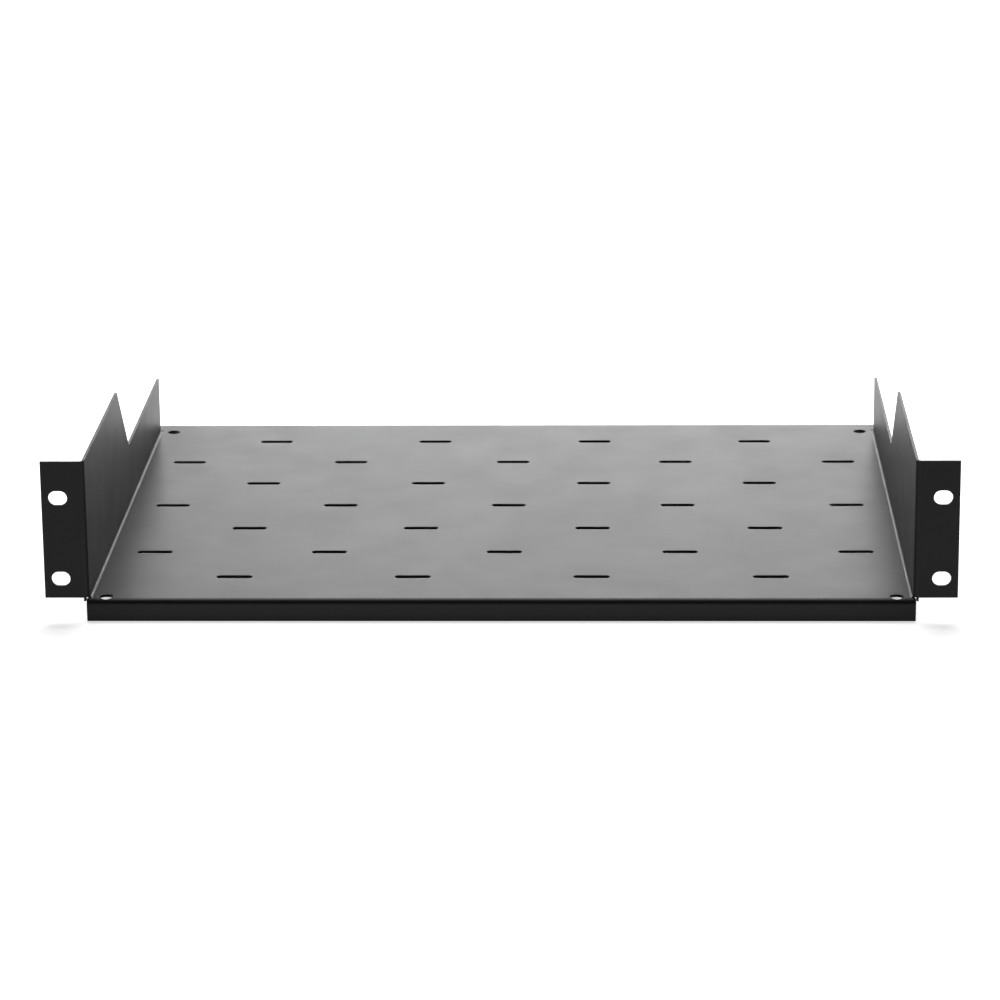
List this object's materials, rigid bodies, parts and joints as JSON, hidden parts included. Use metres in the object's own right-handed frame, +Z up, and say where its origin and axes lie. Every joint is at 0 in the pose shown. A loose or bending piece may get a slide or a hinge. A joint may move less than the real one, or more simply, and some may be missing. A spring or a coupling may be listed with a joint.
{
  "type": "rack shelf",
  "caption": "Vented cantilever shelf folded from one steel sheet, with stepped side walls and slotted ears for a standard 19-inch rack.",
  "frame": {"origin": "middle of the shelf's width and depth, on the plane that the lower edges of its two lips stand on", "axes": "+X to the right across the rack seen from the front, +Y from the ears at the front to the back, +Z up"},
  "size_m": [0.4826, 0.35, 0.088],
  "materials": {
    "powder_coat": "satin black powder coat with a fine grain"
  },
  "bodies": {
    "root": {"shelf": "powder_coat"}
  },
  "joints": []
}
